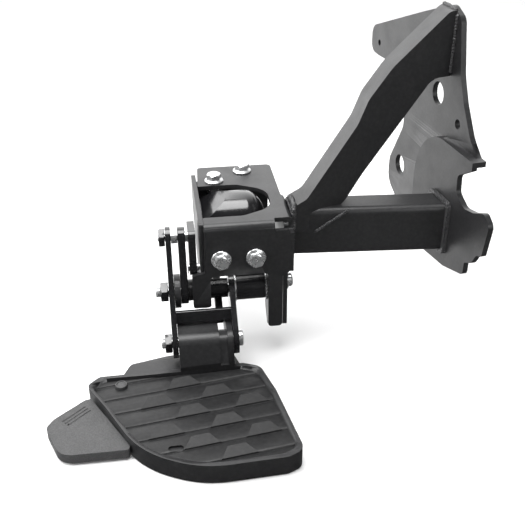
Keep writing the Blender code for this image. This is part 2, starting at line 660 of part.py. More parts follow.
def step_pad():
    """Tray with a raised rim, a rear wing, and the neck with its two pivot bores."""
    pad = plate("step_pad", "XY", [pad_outline()], (PAD_BOTTOM, PAD_TOP))
    add_bevel(pad, 3.0, 2)
    recess = plate("pad_recess", "XY", [pad_outline(5.0)], (PAD_FLOOR, PAD_TOP + 10))
    pocket = plate("pad_pocket", "XY", [pad_outline(11.0)], (PAD_BOTTOM - 10, PAD_BOTTOM + 9))
    wing = plate("pad_wing", "XY", [rounded([(-104, -60, 4), (-88, -24, 8), (-46, -14, 6),
                                             (24, -14, 6), (36, -60, 4)])],
                 (PAD_BOTTOM + 2, PAD_FLOOR + 2))
    add_bevel(wing, 2.0, 2)
    back = (LINK_BOTTOM[0] + 11, LINK_BOTTOM[1])
    side = rounded([(PAD_PIVOT[0] - 14, PAD_PIVOT[1] + 15, 13), (PAD_PIVOT[0] + 8, PAD_PIVOT[1] + 15, 12),
                    (back[0] - 5, back[1] + 11, 9), (back[0], back[1] - 11, 8), (-2, -158, 10),
                    (-12, -167, 4), (-70, -167, 2), (-70, -152, 3), (-50, -149, 12)], 6)
    neck = plate("pad_neck", "YZ", [side], NECK_X)
    fork = plate("pad_neck_fork", "YZ", [side], FORK_X)
    bridge = rounded([(PAD_PIVOT[0] - 13, PAD_PIVOT[1] + 12, 12), (-24, -117, 4), (-6, -127, 10),
                      (-3, -158, 6), (-13, -166, 4), (-69, -166, 2), (-69, -153, 3), (-49, -150, 12)], 6)
    bridge = plate("pad_neck_bridge", "YZ", [bridge], (NECK_X[1] - 1, FORK_X[0] + 1))
    pin_bore = plate("pad_pin_bore", "YZ", [circle(PAD_PIVOT, PIN_RADIUS + GAP)], (-45, 35))
    link_bore = plate("pad_link_bore", "YZ", [circle(LINK_BOTTOM, LINK_PIN_RADIUS + 0.05, 20)], (-45, 35))
    merge(pad, [carry(piece, PAD) for piece in (wing, neck, fork, bridge)])
    cuts = (recess, pocket, pin_bore, link_bore)
    merge(pad, [carry(piece, PAD) for piece in cuts], "DIFFERENCE")
    return finish(pad, PAD, POWDER)


def link_pin_lower():
    """The pin on the pad's neck that the level link's lower end turns on."""
    thin = LINK_PIN_RADIUS - 0.3
    profile = [(FORK_X[1], 0), (FORK_X[1], thin), (LINK_X[1] + GAP, thin),
               (LINK_X[1] + GAP, LINK_PIN_RADIUS), (LINK_X[0] - GAP, LINK_PIN_RADIUS),
               (LINK_X[0] - GAP, thin), (-10, thin), (-10, 0)]
    return finish(turned("link_pin_lower", profile, LINK_BOTTOM, 24), PAD, ZINC)


TREAD_TURN = math.radians(8.3)
TREAD_PITCH = (62.0, 23.0)
PLUG = (-98, -60)
KEYHOLE = (-45, -161)


def tread_insert():
    """Rubber insert with staggered raised blocks on a grid that is turned in plan."""
    hole = slot(KEYHOLE, 15, 7, 90)
    plug = circle(PLUG, 6.8, 24)
    insert = plate("tread_insert", "XY", [pad_outline(6.5), hole, plug], (PAD_FLOOR + GAP, PAD_TOP - 1.5))
    along = Vector((math.cos(TREAD_TURN), math.sin(TREAD_TURN)))
    across = Vector((-along.y, along.x))
    origin = Vector((-23.7, -45.6))
    blocks = []
    for row in range(1, 7):
        for column in range(-2, 3):
            shift = TREAD_PITCH[0] * (column - (row % 2) / 2)
            corner = origin + along * shift - across * TREAD_PITCH[1] * row
            middle = corner + along * 19 + across * 8
            if not (-104 + (-60 - middle.y) * 0.42 < middle.x < 38 and -168 < middle.y < -62):
                continue
            if (middle - Vector(KEYHOLE)).length < 20 or (middle - Vector(PLUG)).length < 22:
                continue
            shape = [corner, corner + along * 38, corner + along * 29 + across * 14,
                     corner + along * 9 + across * 14]
            blocks.append(plate(f"block_{row}_{column + 2}", "XY", [[tuple(p) for p in shape]],
                                (PAD_TOP - 3.0, PAD_TOP - 0.5)))
    merge(insert, [carry(block, PAD) for block in blocks])
    return finish(insert, PAD, RUBBER)


def tread_plug():
    obj = plate("tread_plug", "XY", [circle(PLUG, 6.5, 24)], (PAD_FLOOR + GAP, PAD_TOP))
    return finish(obj, PAD, PLASTIC, 0.8, 1)


def kick_tab():
    """The foot lever that sticks out beyond the pad's left side."""
    outline = rounded([(-136, -70, 4), (-166, -96, 9), (-173, -108, 8), (-156, -150, 18),
                       (-90, -150, 4), (-89.5, -144, 0), (-130, -69, 0)], 6)
    tab = plate("kick_tab", "XY", [outline], (PAD_BOTTOM + 2, PAD_BOTTOM + 13))
    add_bevel(tab, 2.0, 2)
    cut = plate("kick_tab_cut", "XY", [pad_outline(-0.4)], (PAD_BOTTOM - 5, PAD_TOP + 5))
    merge(tab, [carry(cut, PAD)], "DIFFERENCE")
    return finish(tab, PAD, PLASTIC)


# ---------------------------------------------------------------- build
frame_plate()
lower_support_tube()
diagonal_brace_tube()
tube_end_weld()
bracket_cover()
left_cheek_plate()
right_cheek_plate()
right_leg_web()
housing_back_plate()
spring_drum()
flange_bolts("cover_top_bolt", "XY", TOP_BOLTS, GAP, 1, 18)
flange_bolts("cover_front_bolt", "XZ", FRONT_BOLTS, -GAP, -1, 18)
cover_nuts()
anchor_plate()
stop_screw()
side_bolt()
pivot_sleeves()
main_pivot_bolt()
nut("main_pivot_nut", ARM_PIVOT, (-50.0, -41.6), 21, PIN_RADIUS + 0.05, BRACKET)
link_pin_upper()
link_spacer()
swing_arm()
arm_lever_plate()
arm_spacers()
lever_stud()
nut("lever_stud_nut", LEVER_STUD, (-48.0, -41.4), 19, LINK_PIN_RADIUS + 0.05, SWING)
pad_pivot_bolt()
nut("pad_pivot_nut", PAD_PIVOT, (-49.0, -41.4), 20, PIN_RADIUS + 0.05, SWING)
level_link()
step_pad()
link_pin_lower()
tread_insert()
tread_plug()
kick_tab()
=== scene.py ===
"""The tailgate step as it looks: satin powder coat, gloss black levers, zinc bolts, ribbed rubber.

Sizes are in millimetres in the bracket's frame (X along the support tube, Y towards the front of
the truck, Z up, zero at the cover's near left top corner). The front of a piece is its near side,
towards -Y. WORLD takes the bracket's frame to the row's, in metres.
"""
import json
import math

import bmesh
import bpy
from mathutils import Matrix, Vector


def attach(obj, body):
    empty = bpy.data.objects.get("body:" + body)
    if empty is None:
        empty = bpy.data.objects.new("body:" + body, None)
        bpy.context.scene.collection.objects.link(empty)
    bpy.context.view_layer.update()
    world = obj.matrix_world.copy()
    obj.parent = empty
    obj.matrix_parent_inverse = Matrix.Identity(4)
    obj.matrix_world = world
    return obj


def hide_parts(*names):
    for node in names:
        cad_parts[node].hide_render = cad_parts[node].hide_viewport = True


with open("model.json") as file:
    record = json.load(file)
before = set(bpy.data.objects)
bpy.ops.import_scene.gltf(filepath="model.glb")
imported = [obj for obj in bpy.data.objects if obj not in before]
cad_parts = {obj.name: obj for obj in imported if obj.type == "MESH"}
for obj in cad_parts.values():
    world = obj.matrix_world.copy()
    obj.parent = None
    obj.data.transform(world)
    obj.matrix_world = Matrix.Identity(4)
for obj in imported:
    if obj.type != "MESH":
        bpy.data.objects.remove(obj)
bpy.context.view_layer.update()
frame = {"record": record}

# ---------------------------------------------------------------- the bracket's frame
GAP = 0.3                       # clearance between pieces
ARM_PIVOT = (20.0, -89.0)       # (Y, Z), as are the other pivots
PAD_PIVOT = (-22.0, -129.0)
LINK_OFFSET = (34.0, 6.0)       # from each of those to the level link's pivot
LINK_TOP = (ARM_PIVOT[0] + LINK_OFFSET[0], ARM_PIVOT[1] + LINK_OFFSET[1])
LINK_BOTTOM = (PAD_PIVOT[0] + LINK_OFFSET[0], PAD_PIVOT[1] + LINK_OFFSET[1])
LEVER_STUD = (30.0, -26.0)
PIVOT_BORE = 6.3
STUD_BORE = 4.3

MM = 0.001
joints = {joint["name"]: joint for joint in frame["record"]["behaviour"]["joints"]}
arm_swing = joints["arm_swing"]
arm_axis = Vector(arm_swing["axis"])
YAW = math.atan2(arm_axis.y, arm_axis.x)
TURN = Matrix.Rotation(YAW, 4, "Z")
corner = Vector(arm_swing["pos_m"]) - TURN @ (Vector((0, *ARM_PIVOT)) * MM)
WORLD = Matrix.Translation(corner) @ TURN @ Matrix.Scale(MM, 4)


def at(x, y, z):
    """A point of the bracket's frame, in the row frame in metres."""
    return WORLD @ Vector((x, y, z))


# ---------------------------------------------------------------- materials
class Look:
    """A node material under construction: a Principled shader and the textures that feed it."""

    def __init__(self, name, metallic=0.0, coat=0.0, specular=0.5):
        self.material = bpy.data.materials.new(name)
        self.material.use_nodes = True
        self.nodes = self.material.node_tree.nodes
        self.links = self.material.node_tree.links
        self.shader = self.nodes["Principled BSDF"]
        self.shader.inputs["Metallic"].default_value = metallic
        self.shader.inputs["Coat Weight"].default_value = coat
        self.shader.inputs["Coat Roughness"].default_value = 0.12
        self.shader.inputs["Specular IOR Level"].default_value = specular
        self.place = self.nodes.new("ShaderNodeTexCoord").outputs["Object"]
        self.height = None

    def noise(self, per_metre, detail):
        node = self.nodes.new("ShaderNodeTexNoise")
        node.inputs["Scale"].default_value = per_metre
        node.inputs["Detail"].default_value = detail
        self.links.new(self.place, node.inputs["Vector"])
        return node.outputs["Fac"]

    def cells(self, per_metre, feature="F1"):
        node = self.nodes.new("ShaderNodeTexVoronoi")
        node.feature = feature
        node.inputs["Scale"].default_value = per_metre
        self.links.new(self.place, node.inputs["Vector"])
        return node.outputs["Distance"]

    def ramp(self, value, low, high, dark=0.0, light=1.0):
        """value from low to high becomes dark to light, and no less or more outside that."""
        node = self.nodes.new("ShaderNodeMapRange")
        node.inputs["From Min"].default_value = low
        node.inputs["From Max"].default_value = high
        node.inputs["To Min"].default_value = dark
        node.inputs["To Max"].default_value = light
        self.links.new(value, node.inputs["Value"])
        return node.outputs["Result"]

    def colour(self, value, dark, light):
        node = self.nodes.new("ShaderNodeMix")
        node.data_type = "RGBA"
        node.inputs["A"].default_value = (*dark, 1)
        node.inputs["B"].default_value = (*light, 1)
        self.links.new(value, node.inputs["Factor"])
        self.links.new(node.outputs["Result"], self.shader.inputs["Base Color"])

    def rough(self, value):
        self.links.new(value, self.shader.inputs["Roughness"])

    def bump(self, value, strength, distance):
        """A bump on top of the ones before it. distance is its height in metres."""
        node = self.nodes.new("ShaderNodeBump")
        node.inputs["Strength"].default_value = strength
        node.inputs["Distance"].default_value = distance
        self.links.new(value, node.inputs["Height"])
        if self.height:
            self.links.new(self.height, node.inputs["Normal"])
        self.height = node.outputs["Normal"]
        self.links.new(self.height, self.shader.inputs["Normal"])


def powder_coat(name, light):
    """Satin black powder coat: fine orange peel and faint dust. light is its mottle's lighter tone,
    and the painted edge highlight in the edge strips.
    """
    look = Look(name)
    look.colour(look.ramp(look.noise(300, 4), 0.4, 0.75), (0.014, 0.014, 0.015), light)
    look.rough(look.ramp(look.noise(45, 5), 0.3, 0.7, 0.34, 0.44))
    look.bump(look.noise(1400, 2), 0.14, 0.0003)
    look.bump(look.noise(3200, 1), 0.10, 0.0002)
    return look.material


def gloss_coat(name, light):
    """Gloss black paint with a slight ripple. light is its mottle's lighter tone, and the painted
    edge highlight in the edge strips.
    """
    look = Look(name, coat=0.6)
    look.colour(look.ramp(look.noise(350, 4), 0.45, 0.7), (0.008, 0.008, 0.009), light)
    look.rough(look.ramp(look.noise(80, 4), 0.3, 0.7, 0.16, 0.26))
    look.bump(look.noise(220, 1), 0.08, 0.0004)
    return look.material


def zinc_plate():
    """Bright zinc with slightly clouded patches."""
    look = Look("zinc", metallic=0.82)
    look.colour(look.ramp(look.noise(160, 4), 0.35, 0.65), (0.60, 0.605, 0.61), (0.68, 0.685, 0.69))
    look.rough(look.ramp(look.noise(220, 4), 0.3, 0.7, 0.24, 0.31))
    look.bump(look.noise(2400, 2), 0.008, 0.0001)
    return look.material


def tread_rubber(name, light):
    """Dark moulded rubber with a fine skin. light is the lighter tone of its scuffs, and the
    painted edge highlight in the edge strips.
    """
    look = Look(name, specular=0.28)
    look.colour(look.ramp(look.noise(240, 4), 0.4, 0.7), (0.011, 0.011, 0.0115), light)
    look.rough(look.ramp(look.noise(50, 4), 0.3, 0.7, 0.34, 0.46))
    look.bump(look.cells(1500), 0.12, 0.0003)
    look.bump(look.noise(400, 3), 0.08, 0.0003)
    return look.material


def moulded_plastic():
    """Black moulded plastic with a pebbled leather grain."""
    look = Look("moulded_black")
    grain = look.cells(950, "SMOOTH_F1")
    look.colour(look.ramp(grain, 0.1, 0.6), (0.030, 0.030, 0.031), (0.060, 0.060, 0.061))
    look.rough(look.ramp(look.noise(60, 4), 0.3, 0.7, 0.48, 0.62))
    look.bump(grain, 0.35, 0.0004)
    return look.material


def weld_metal():
    """Weld beads under the powder coat: the same black over a rippled, spattered surface."""
    look = Look("weld_black")
    look.colour(look.noise(500, 3), (0.016, 0.016, 0.017), (0.06, 0.06, 0.062))
    look.rough(look.ramp(look.noise(200, 4), 0.3, 0.7, 0.25, 0.5))
    look.bump(look.cells(520, "SMOOTH_F1"), 0.9, 0.0012)
    look.bump(look.noise(1400, 3), 0.4, 0.0005)
    return look.material


POWDER = powder_coat("powder_black", (0.022, 0.022, 0.023))
GLOSS = gloss_coat("gloss_black", (0.014, 0.014, 0.015))
ZINC = zinc_plate()
RUBBER = tread_rubber("tread_rubber", (0.018, 0.018, 0.0185))
PLASTIC = moulded_plastic()
WELD = weld_metal()
# Painted edge highlight: a lighter finish for a piece's broken edges, by the finish of the rest of
# it.
EDGE_HIGHLIGHTS = {
    POWDER: powder_coat("powder_edge_highlight", (0.075, 0.076, 0.078)),
    GLOSS: gloss_coat("gloss_edge_highlight", (0.16, 0.16, 0.165)),
    RUBBER: tread_rubber("rubber_edge_highlight", (0.07, 0.07, 0.072)),
}

# ---------------------------------------------------------------- outlines
CIRCLE_STEPS = 48


def circle(centre, radius):
    turn = 2 * math.pi / CIRCLE_STEPS
    return [(centre[0] + radius * math.cos(turn * i), centre[1] + radius * math.sin(turn * i))
            for i in range(CIRCLE_STEPS)]


def rounded(corners, count=8):
    """A closed outline from (u, v, radius) corners, each turned into an arc of that radius."""
    outline = []
    for index, (u, v, radius) in enumerate(corners):
        point = Vector((u, v))
        back = Vector(corners[index - 1][:2]) - point
        ahead = Vector(corners[(index + 1) % len(corners)][:2]) - point
        if radius <= 0:
            outline.append((u, v))
            continue
        half = back.angle(ahead) / 2
        reach = min(radius / math.tan(half), back.length * 0.49, ahead.length * 0.49)
        radius = reach * math.tan(half)
        start = point + back.normalized() * reach
        end = point + ahead.normalized() * reach
        inward = (back.normalized() + ahead.normalized()).normalized()
        centre = point + inward * radius / math.sin(half)
        first = start - centre
        sweep = first.angle_signed(end - centre)
        for step in range(count + 1):
            ray = first.copy()
            ray.rotate(Matrix.Rotation(-sweep * step / count, 2))
            outline.append(tuple(centre + ray))
    return outline


def strap(first, second, first_radius, second_radius, count=20):
    """The outline round two circles: a link with round ends."""
    first, second = Vector(first), Vector(second)
    run = second - first
    lean = math.acos((first_radius - second_radius) / run.length)
    heading = math.atan2(run.y, run.x)
    outline = []
    for centre, radius, start, stop in ((first, first_radius, lean, 2 * math.pi - lean),
                                        (second, second_radius, -lean, lean)):
        for step in range(count + 1):
            angle = heading + start + (stop - start) * step / count
            outline.append(tuple(centre + radius * Vector((math.cos(angle), math.sin(angle)))))
    return outline


def hexagon(centre, across_flats, turn):
    radius = across_flats / math.sqrt(3)
    return [(centre[0] + radius * math.cos(math.radians(60 * i + turn)),
             centre[1] + radius * math.sin(math.radians(60 * i + turn))) for i in range(6)]


# A plane's matrix takes an outline's (u, v) and its depth into the bracket's frame.
PLANES = {
    "YZ": Matrix(((0, 0, 1), (1, 0, 0), (0, 1, 0))).to_4x4(),
    "XZ": Matrix(((1, 0, 0), (0, 0, 1), (0, 1, 0))).to_4x4(),
    "XY": Matrix.Identity(4),
}


# ---------------------------------------------------------------- solids
JOIN_WITHIN = 1e-3
ALL_ROUND = 2 * math.pi


def keep(name, data):
    obj = bpy.data.objects.new(name, data)
    bpy.context.scene.collection.objects.link(obj)
    return obj


def close_mesh(work, name, matrix):
    """A finished object from a bmesh, which matrix takes into the bracket's frame."""
    bmesh.ops.remove_doubles(work, verts=work.verts, dist=JOIN_WITHIN)
    work.transform(matrix)
    bmesh.ops.recalc_face_normals(work, faces=work.faces)
    mesh = bpy.data.meshes.new(name)
    work.to_mesh(mesh)
    work.free()
    return keep(name, mesh)


def plate(name, plane, loops, span):
    """A flat solid: the first loop is its outline, the others are holes. span is its depth."""
    curve = bpy.data.curves.new(name, "CURVE")
    curve.dimensions = "2D"
    curve.fill_mode = "BOTH"
    curve.extrude = abs(span[1] - span[0]) / 2
    for loop in loops:
        spline = curve.splines.new("POLY")
        spline.points.add(len(loop) - 1)
        for point, (u, v) in zip(spline.points, loop):
            point.co = (u, v, 0, 1)
        spline.use_cyclic_u = True
    guide = keep(f"{name}_outline", curve)
    bpy.context.view_layer.update()
    depsgraph = bpy.context.evaluated_depsgraph_get()
    work = bmesh.new()
    work.from_mesh(bpy.data.meshes.new_from_object(guide.evaluated_get(depsgraph)))
    bpy.data.objects.remove(guide)
    depth = Matrix.Translation((0, 0, (span[0] + span[1]) / 2))
    return close_mesh(work, name, PLANES[plane] @ depth)


def spun(name, plane, centre, profile, count=CIRCLE_STEPS):
    """A turned solid about the plane's normal through centre; profile is (depth, radius) pairs."""
    work = bmesh.new()
    points = [work.verts.new((radius, 0, depth)) for depth, radius in profile]
    edges = [work.edges.new(pair) for pair in zip(points, points[1:])]
    bmesh.ops.spin(work, geom=points + edges, cent=(0, 0, 0), axis=(0, 0, 1), angle=ALL_ROUND,
                   steps=count, use_merge=True, use_duplicate=False)
    return close_mesh(work, name, PLANES[plane] @ Matrix.Translation((*centre, 0)))


def bevel(obj, width, segments, angle=32):
    """Round the edges where two faces meet at more than angle degrees."""
    step = obj.modifiers.new("edge", "BEVEL")
    step.width = width
    step.segments = segments
    step.limit_method = "ANGLE"
    step.angle_limit = math.radians(angle)
    step.harden_normals = True
    return obj


def bevel_with_highlight(obj, width, segments, angle):
    """A fine broken edge whose strip takes the painted edge highlight, in the second material slot.
    """
    bevel(obj, width, segments, angle)
    obj.modifiers[-1].material = 1
    return obj


def paint(mesh, look):
    """The finish in the first material slot, and its lighter form with the painted edge highlight
    in the second.
    """
    mesh.materials.clear()
    mesh.materials.append(look)
    mesh.materials.append(EDGE_HIGHLIGHTS.get(look, look))


def merge(obj, others, operation="UNION"):
    """Join or cut obj by others, which are used up."""
    for other in others:
        step = obj.modifiers.new(operation.lower(), "BOOLEAN")
        step.operation = operation
        step.solver = "EXACT"
        step.object = other
    apply(obj)
    for other in others:
        bpy.data.objects.remove(other)


def apply(obj):
    """Turn an object's modifiers into mesh."""
    bpy.context.view_layer.update()
    depsgraph = bpy.context.evaluated_depsgraph_get()
    mesh = bpy.data.meshes.new_from_object(obj.evaluated_get(depsgraph))
    obj.modifiers.clear()
    obj.data = mesh
    return obj


def even(obj):
    """Large flats keep their own shading right up to their bevels."""
    facing = obj.modifiers.new("facing", "WEIGHTED_NORMAL")
    facing.keep_sharp = True
    facing.weight = 100


def show(obj, body, look, slot, *nodes, smooth=35):
    """Finish a piece: into the row frame, with its material, riding on a body for some nodes."""
    paint(obj.data, look)
    apply(obj)
    obj.data.transform(WORLD)
    obj.data.shade_smooth()
    obj.data.set_sharp_from_angle(angle=math.radians(smooth))
    even(obj)
    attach(obj, body)
    if nodes:
        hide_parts(*nodes)


BEAD_STEP = 0.7                 # between a bead's rings
BEAD_SIDES = 12
BEAD_TAPER = 4                  # rings over which each end swells to its full size


def bead(name, points, radius):
    """A weld bead along points: a round string that swells and narrows in ripples."""
    path = [Vector(point) for point in points]
    samples = []
    for start, end in zip(path, path[1:]):
        count = max(2, int((end - start).length / BEAD_STEP))
        samples += [start.lerp(end, i / count) for i in range(count)]
    samples.append(path[-1])
    last = len(samples) - 1
    angles = [ALL_ROUND * i / BEAD_SIDES for i in range(BEAD_SIDES)]
    work = bmesh.new()
    rings = []
    for index, point in enumerate(samples):
        ahead = samples[min(index + 1, last)] - samples[max(index - 1, 0)]
        turn = ahead.to_track_quat("Z", "Y")
        ripple = 1 + 0.13 * math.sin(index * 1.35) + 0.09 * math.sin(index * 0.37 + len(name))
        taper = min(1, (min(index, last - index) + 1) / BEAD_TAPER)
        size = radius * ripple * taper
        spokes = [Vector((size * math.cos(a), size * math.sin(a), 0)) for a in angles]
        rings.append([work.verts.new(point + turn @ spoke) for spoke in spokes])
    for first, second in zip(rings, rings[1:]):
        for i in range(BEAD_SIDES):
            work.faces.new((first[i - 1], first[i], second[i], second[i - 1]))
    work.faces.new(rings[0][::-1])
    work.faces.new(rings[-1])
    obj = close_mesh(work, name, Matrix.Identity(4))
    show(obj, "bracket", WELD, "powder", smooth=70)


# ---------------------------------------------------------------- frame plate and tubes
PLATE_ZERO = (280.0, 20.0)      # (X, Y) where the plate's own frame starts, on its near face
SHEET = 5.0                     # bracket sheet
PLATE_SHEET = 6.0
SEAT_RISE = 10.0                # how far the plate's seat stands out towards the bracket
SEAT_SHOULDER = 8.5
FLANGE = 96.0                   # X where the tubes start
REACH = 272.0                   # X at which their front walls have the second of these places
TUBE_FRONT = (27.0, 14.0)
TUBE_DEPTH = 38.0
TUBE_Z = (-58.5, -1.5)
BRACE_FRONT = (20.0, 66.0)
BRACE_DEPTH = 32.0
PLATE_FRAME = Matrix.Translation((*PLATE_ZERO, 0)) @ Matrix.Rotation(-YAW, 4, "Z")
PLATE_HOLES = [((69, 101), 13.0), ((146, -17), 12.5), ((19, 83), 5.5), ((235, 113), 3.8)]


def seat_arch(inset):
    """The raised seat's outline on the plate, drawn in by inset."""
    return rounded([(86 - inset, -110, 0), (86 - inset, 63 - inset, 60 - inset),
                    (-140, 63 - inset, 4), (-140, -110, 0)], 24)


def frame_plate():
    """Flat plate with bolt holes and the raised seat with its softly drawn shoulder."""
    outline = rounded([
        (60, 199, 13), (122, 178, 8), (259, 129, 15), (259, 98, 15), (235, 97, 10), (190, 99, 26),
        (148, 62, 30), (146, 34, 24), (177, -20, 22), (177, -50, 24), (150, -63, 16), (84, -77, 6),
        (60, -40, 4), (20, 20, 20), (-26, 46, 4), (-38, 55, 4), (-10, 77, 40), (12, 108, 40),
        (25, 134, 50), (38, 190, 12)])
    holes = [circle(centre, radius) for centre, radius in PLATE_HOLES]
    edge = rounded([
        (110, 110, 0), (-38, 110, 0), (-38, 54, 2), (-12, 38, 7), (-14, 18, 9), (-33, 9, 14),
        (-52, 13, 6), (-72, 22, 7), (-85, 13, 8), (-79, -25, 5), (-70, -28, 6), (-62, -42, 6),
        (-49, -48, 4), (-49, -64, 6), (-6, -77, 16), (40, -82, 14), (110, -76, 0)])
    obj = plate("painted_frame_plate", "YZ", [outline, *holes], (0, PLATE_SHEET))
    seat = plate("seat", "YZ", [seat_arch(0)], (-SEAT_RISE, PLATE_SHEET - 0.4))
    bevel(seat, SEAT_SHOULDER, 10)
    merge(seat, [plate("seat_edge", "YZ", [edge], (-30, 30))], "INTERSECT")
    hollow = plate("hollow", "YZ", [seat_arch(PLATE_SHEET)], (PLATE_SHEET - SEAT_RISE, 40))
    merge(obj, [seat])
    merge(obj, [bevel(hollow, 3.0, 4)], "DIFFERENCE")
    obj.data.transform(PLATE_FRAME)
    show(obj, "bracket", POWDER, "powder", "frame_plate")


def shear(obj, front):
    """Lean a tube so that its front wall moves from front[0] at the bracket to front[1]."""
    rate = (front[1] - front[0]) / (REACH - FLANGE)
    lean = Matrix.Identity(4)
    lean[1][0] = rate
    lean[1][3] = -rate * FLANGE
    obj.data.transform(lean)
    return obj


def past_plate(offset):
    """The block that cuts a tube's end off at offset from the frame plate's near face."""
    block = plate("past_plate", "YZ", [[(-200, -200), (300, -200), (300, 300), (-200, 300)]],
                  (offset, offset + 80))
    block.data.transform(PLATE_FRAME)
    return block


def tube_section():
    front, back = TUBE_FRONT[0], TUBE_FRONT[0] + TUBE_DEPTH
    return rounded([(front, TUBE_Z[0], 7), (back, TUBE_Z[0], 7), (back, TUBE_Z[1], 7),
                    (front, TUBE_Z[1], 7)], 10)


def brace_solid():
    """The diagonal brace before its edges are rounded and its end is cut off."""
    outline = rounded([
        (FLANGE + GAP, 5, 0), (113, 12, 14), (168, 88, 40), (179, 114, 30), (204, 145, 60),
        (266, 197, 12), (300, 190, 0), (300, 128, 0), (252, 127, 18), (178, 32, 60), (158, 2, 30),
        (120, -29, 16), (FLANGE + GAP, -25, 0)], 14)
    span = (BRACE_FRONT[0], BRACE_FRONT[0] + BRACE_DEPTH)
    return shear(plate("painted_brace", "XZ", [outline], span), BRACE_FRONT)


def support_tubes():
    brace = apply(bevel(brace_solid(), 6.0, 8))
    merge(brace, [past_plate(-GAP)], "DIFFERENCE")
    show(brace, "bracket", POWDER, "powder", "diagonal_brace_tube", smooth=50)
    tube = plate("painted_support_tube", "YZ", [tube_section()], (FLANGE + GAP, REACH + 40))
    shear(tube, TUBE_FRONT)
    merge(tube, [past_plate(-SEAT_RISE - GAP)], "DIFFERENCE")
    show(tube, "bracket", POWDER, "powder", "lower_support_tube", smooth=50)


# ---------------------------------------------------------------- bracket
TOP_BOLTS = [(20.0, 111.0), (55.5, 134.0)]      # (X, Y)
FRONT_BOLTS = [(17.0, -41.0), (54.4, -41.0)]    # (X, Z)
BOLT_HOLE = 5.3
DRUM_CENTRE = (70.0, -30.0)
DRUM_RADIUS = 33.0
DRUM_SIDE = (2.0, 51.0)         # X span of its straight wall
DRUM_DOME = 23.0                # how far its right end bulges past that
DOME_STEPS = 28
DRUM_FLAT = [(-40, -43.1), (-0.1, -16.9), (36, 6.8), (36, 40), (-40, 40)]


def bracket_cover():
    """Folded sheet with real bend radii: top with a D-shaped window, front with two legs."""
    folded = rounded([(0, -140, 0), (0, 0, 7.0), (160, 0, 0), (160, -SHEET, 0),
                      (SHEET, -SHEET, 2.5), (SHEET, -140, 0)], 12)
    cover = plate("painted_cover", "YZ", [folded], (-20, FLANGE - 5))
    front = rounded([
        (0, 10, 0), (75, 10, 0), (75, -10, 2), (91, -10, 2), (91, -63, 3), (84, -66, 3),
        (84, -133, 4), (68, -133, 4), (68, -62, 4), (4.7, -62, 5), (4.7, -101, 3), (-15, -101, 3),
        (-15, -60, 2), (-1, -57, 2)])
    holes = [circle(centre, BOLT_HOLE) for centre in FRONT_BOLTS]
    trim = plate("front_trim", "XZ", [front, *holes], (-5, 7))
    top = rounded([
        (0, -10, 0), (75, -10, 0), (75, 10, 2), (91, 10, 0), (91, 150, 6), (3, 150, 4),
        (0, 98, 2), (44, 98, 20), (77, 80, 26), (77, 36, 26), (44, 20, 20), (0, 20, 2)], 16)
    holes = [circle(centre, BOLT_HOLE) for centre in TOP_BOLTS]
    merge(trim, [plate("top_trim", "XY", [top, *holes], (-7, 5))])
    merge(cover, [trim], "INTERSECT")
    bend = rounded([(78, 0, 0), (FLANGE, 0, 7), (FLANGE, -70, 0), (91, -70, 0), (91, -SHEET, 2.5),
                    (78, -SHEET, 0)], 12)
    flange = plate("flange", "XZ", [bend], (-2, 90))
    side = rounded([(0, -14, 0), (0, -63, 3), (52, -63, 8), (66, -48, 8), (66, 4, 0), (10, 4, 0),
                    (10, -14, 2)])
    merge(flange, [plate("side_trim", "YZ", [side], (70, 100))], "INTERSECT")
    merge(cover, [flange])
    bevel_with_highlight(cover, 0.9, 3, 40)
    show(cover, "bracket", POWDER, "powder", "bracket_cover")


def left_cheek():
    """The cheek plate, its front edge rolled round to meet the cover."""
    outline = rounded([(5.3, 0, 4), (136, 0, 5), (126, -40, 20), (70, -78, 10), (66, -98, 12),
                       (40, -98, 10), (34, -108, 12), (6, -108, 8), (5.3, -96, 3)])
    holes = [circle(ARM_PIVOT, PIVOT_BORE), circle(LINK_TOP, STUD_BORE)]
    outer, inner = -SHEET - GAP, -GAP
    cheek = plate("painted_cheek", "YZ", [outline, *holes], (outer, inner))
    roll = rounded([(outer, 5.3, 4.6), (inner, 5.3, 0), (inner, 160, 0), (outer, 160, 0)], 10)
    merge(cheek, [plate("roll", "XY", [roll], (-140, 20))], "INTERSECT")
    bevel_with_highlight(cheek, 0.5, 2, 45)
    show(cheek, "bracket", POWDER, "powder", "left_cheek_plate")


def spring_drum():
    """Deep drawn dome whose left side is cut by a flat that faces up and to the left."""
    left, right = DRUM_SIDE
    quarter = [math.pi / 2 * i / DOME_STEPS for i in range(DOME_STEPS + 1)]
    dome = [(right + DRUM_DOME * math.cos(a), DRUM_RADIUS * math.sin(a)) for a in quarter]
    profile = [*dome, (left, DRUM_RADIUS), (left, 0)]
    drum = spun("painted_drum", "YZ", DRUM_CENTRE, profile, 128)
    merge(drum, [plate("flat", "XZ", [DRUM_FLAT], (0, 160))], "DIFFERENCE")
    bevel_with_highlight(drum, 0.8, 3, 40)
    show(drum, "bracket", GLOSS, "gloss", "spring_drum", smooth=50)


